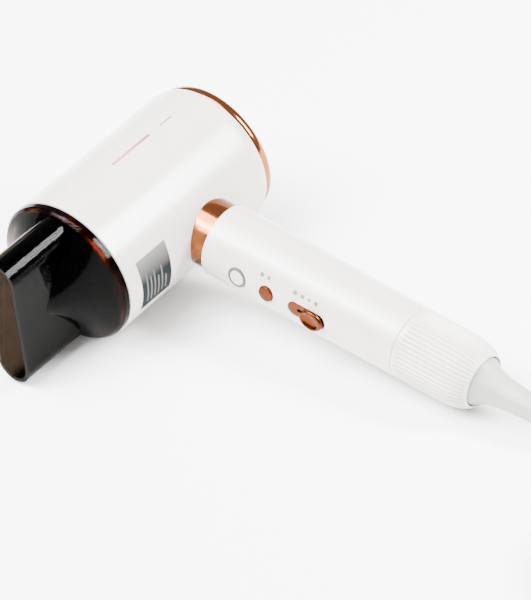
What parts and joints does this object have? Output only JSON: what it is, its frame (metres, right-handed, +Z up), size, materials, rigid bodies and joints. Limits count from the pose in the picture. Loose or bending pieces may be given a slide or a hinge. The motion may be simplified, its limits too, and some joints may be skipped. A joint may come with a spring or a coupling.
{
  "type": "hair dryer",
  "caption": "T-shaped hair dryer lying on its side: round barrel, slim straight handle with ribbed air intake end, flat slot nozzle, push buttons, speed slider, cord with coil and plug",
  "frame": {"origin": "middle of the dryer's own footprint, cord left out, on the surface that it lies on", "axes": "+Z up; the barrel's axis runs along Y with the air outlet and nozzle towards -Y; the handle leaves the barrel towards +X and drops about six degrees so that its end rests on the surface"},
  "size_m": [0.4631, 0.1753, 0.078],
  "materials": {
    "pearl_white": "satin pearl lacquer",
    "rose_gold": "polished rose gold plating on plastic",
    "smoked_plastic": "polished smoked brown, see-through",
    "cord_grey": "soft light grey, satin",
    "dark_plastic": "matte dark grey",
    "trim_grey": "satin grey",
    "steel": "bright nickel",
    "copper_winding": "lacquered copper wire",
    "mica": "mica sheet",
    "ceramic_white": "ceramic sleeve",
    "board_green": "solder mask",
    "foam": "open foam",
    "black_rubber": "matte",
    "label_silver": "satin silver film, no text",
    "wire_red": "insulation",
    "wire_blue": "insulation"
  },
  "bodies": {
    "housing": {"barrel_shell": "pearl_white", "board_heat_sink": "steel", "coil_tie": "black_rubber", "control_board": "board_green", "control_chip": "dark_plastic", "cool_shot_ring": "trim_grey", "cool_shot_switch": "dark_plastic", "cord_clamp": "dark_plastic", "cord_coil": "cord_grey", "cord_run": "cord_grey", "cord_tail": "cord_grey", "front_trim_ring": "rose_gold", "handle_collar": "rose_gold", "handle_shell": "pearl_white", "heater_coil": "steel", "heater_frame": "mica", "heater_tube": "mica", "heater_wire_blue": "wire_blue", "heater_wire_red": "wire_red", "holding_magnet_1": "steel", "holding_magnet_2": "steel", "holding_magnet_3": "steel", "holding_magnet_4": "steel", "intake_filter": "steel", "intake_frame": "dark_plastic", "ion_emitter": "steel", "ion_generator": "dark_plastic", "mode_switch": "dark_plastic", "motor_bearing": "steel", "motor_housing": "dark_plastic", "motor_mount_front": "black_rubber", "motor_mount_rear": "black_rubber", "motor_stator": "copper_winding", "outlet_grille": "dark_plastic", "plug_body": "cord_grey", "plug_pin_left": "steel", "plug_pin_right": "steel", "power_board": "board_green", "rating_label": "label_silver", "rear_cover": "pearl_white", "rear_noise_pad": "foam", "rear_trim_ring": "rose_gold", "slider_switch": "steel", "slider_track": "rose_gold", "strain_relief": "cord_grey", "supply_wire_blue": "wire_blue", "supply_wire_red": "wire_red", "thermal_cutout": "steel", "thermal_fuse": "ceramic_white"},
    "rotor": {"motor_shaft": "steel", "rotor_magnet": "steel", "impeller": "dark_plastic"},
    "cool_shot": {"cool_shot_button": "pearl_white"},
    "mode": {"mode_button": "rose_gold"},
    "slider": {"speed_slider": "rose_gold"},
    "cover": {"intake_cover": "pearl_white"},
    "nozzle_ring": {"nozzle_magnet_ring": "steel"},
    "nozzle": {"nozzle_shell": "smoked_plastic"}
  },
  "joints": [
    {"name": "nozzle_pull_off", "type": "slide", "parent": "housing", "child": "nozzle_ring", "axis": [0, -1, 0], "range_m": [0, 0.03]},
    {"name": "nozzle_turn", "type": "hinge", "parent": "nozzle_ring", "child": "nozzle", "pos_m": [-0.084, -0.04, 0.039], "axis": [0, 1, 0], "continuous": true},
    {"name": "cool_shot_press", "type": "slide", "parent": "housing", "child": "cool_shot", "axis": [-0.0103, 0.9954, -0.0953], "range_m": [0, 0.0012], "stiffness_N_per_m": 600},
    {"name": "mode_press", "type": "slide", "parent": "housing", "child": "mode", "axis": [-0.0103, 0.9954, -0.0953], "range_m": [0, 0.0012], "stiffness_N_per_m": 600},
    {"name": "speed_slide", "type": "slide", "parent": "housing", "child": "slider", "axis": [-0.9942, 0, 0.1072], "range_m": [0, 0.008]},
    {"name": "impeller_spin", "type": "hinge", "parent": "housing", "child": "rotor", "pos_m": [0.05519, 0.031, 0.02399], "axis": [0.9942, 0, -0.1072], "continuous": true},
    {"name": "intake_cover_pull", "type": "slide", "parent": "housing", "child": "cover", "axis": [0.9942, 0, -0.1072], "range_m": [0, 0.015]}
  ]
}
